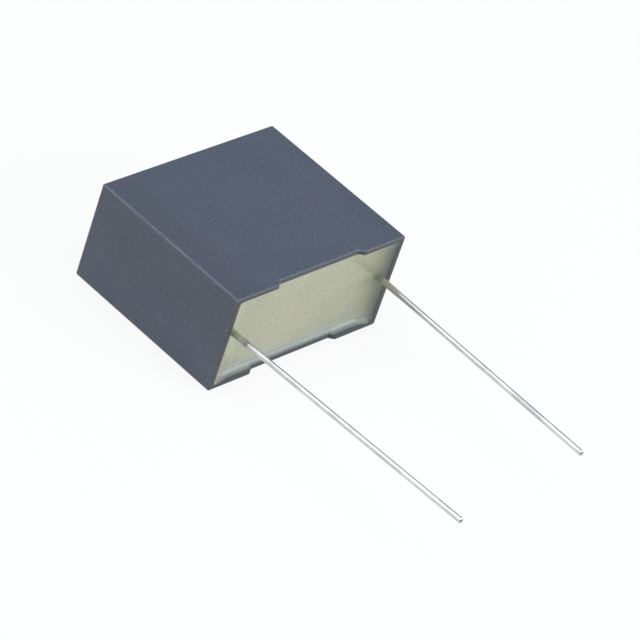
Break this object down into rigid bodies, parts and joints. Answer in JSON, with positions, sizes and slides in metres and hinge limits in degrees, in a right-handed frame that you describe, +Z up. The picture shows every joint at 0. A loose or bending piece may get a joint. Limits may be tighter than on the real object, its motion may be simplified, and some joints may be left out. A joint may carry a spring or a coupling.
{
  "type": "box film capacitor",
  "caption": "Box-shaped film capacitor: a resin-filled moulded case with standoff feet and two straight wire leads at its ends.",
  "frame": {"origin": "centre of the broad case side that it lies on, at height 0", "axes": "+X along the lead pitch, +Y from the seating plane into the case, so the leads leave along -Y, +Z up through the case thickness"},
  "size_m": [0.0316, 0.0657, 0.015],
  "materials": {
    "case_plastic": "grey flame-retardant polyester moulding, satin with a fine spark-eroded grain",
    "epoxy": "filled two-part epoxy, pale grey-green, semi-gloss with a smooth cast surface",
    "metallised_film": "wound metallised polypropylene film, silvery",
    "plain_film": "clear polypropylene film, several turns, heat sealed",
    "sprayed_zinc": "flame-sprayed zinc, matt grey and grainy",
    "tinned_wire": "tin-plated copper wire, bright with drawing lines"
  },
  "bodies": {
    "root": {"case": "case_plastic", "potting_resin": "epoxy", "film_winding": "metallised_film", "cover_film": "plain_film", "end_spray_left": "sprayed_zinc", "end_spray_right": "sprayed_zinc", "lead_left": "tinned_wire", "lead_right": "tinned_wire"}
  },
  "joints": []
}
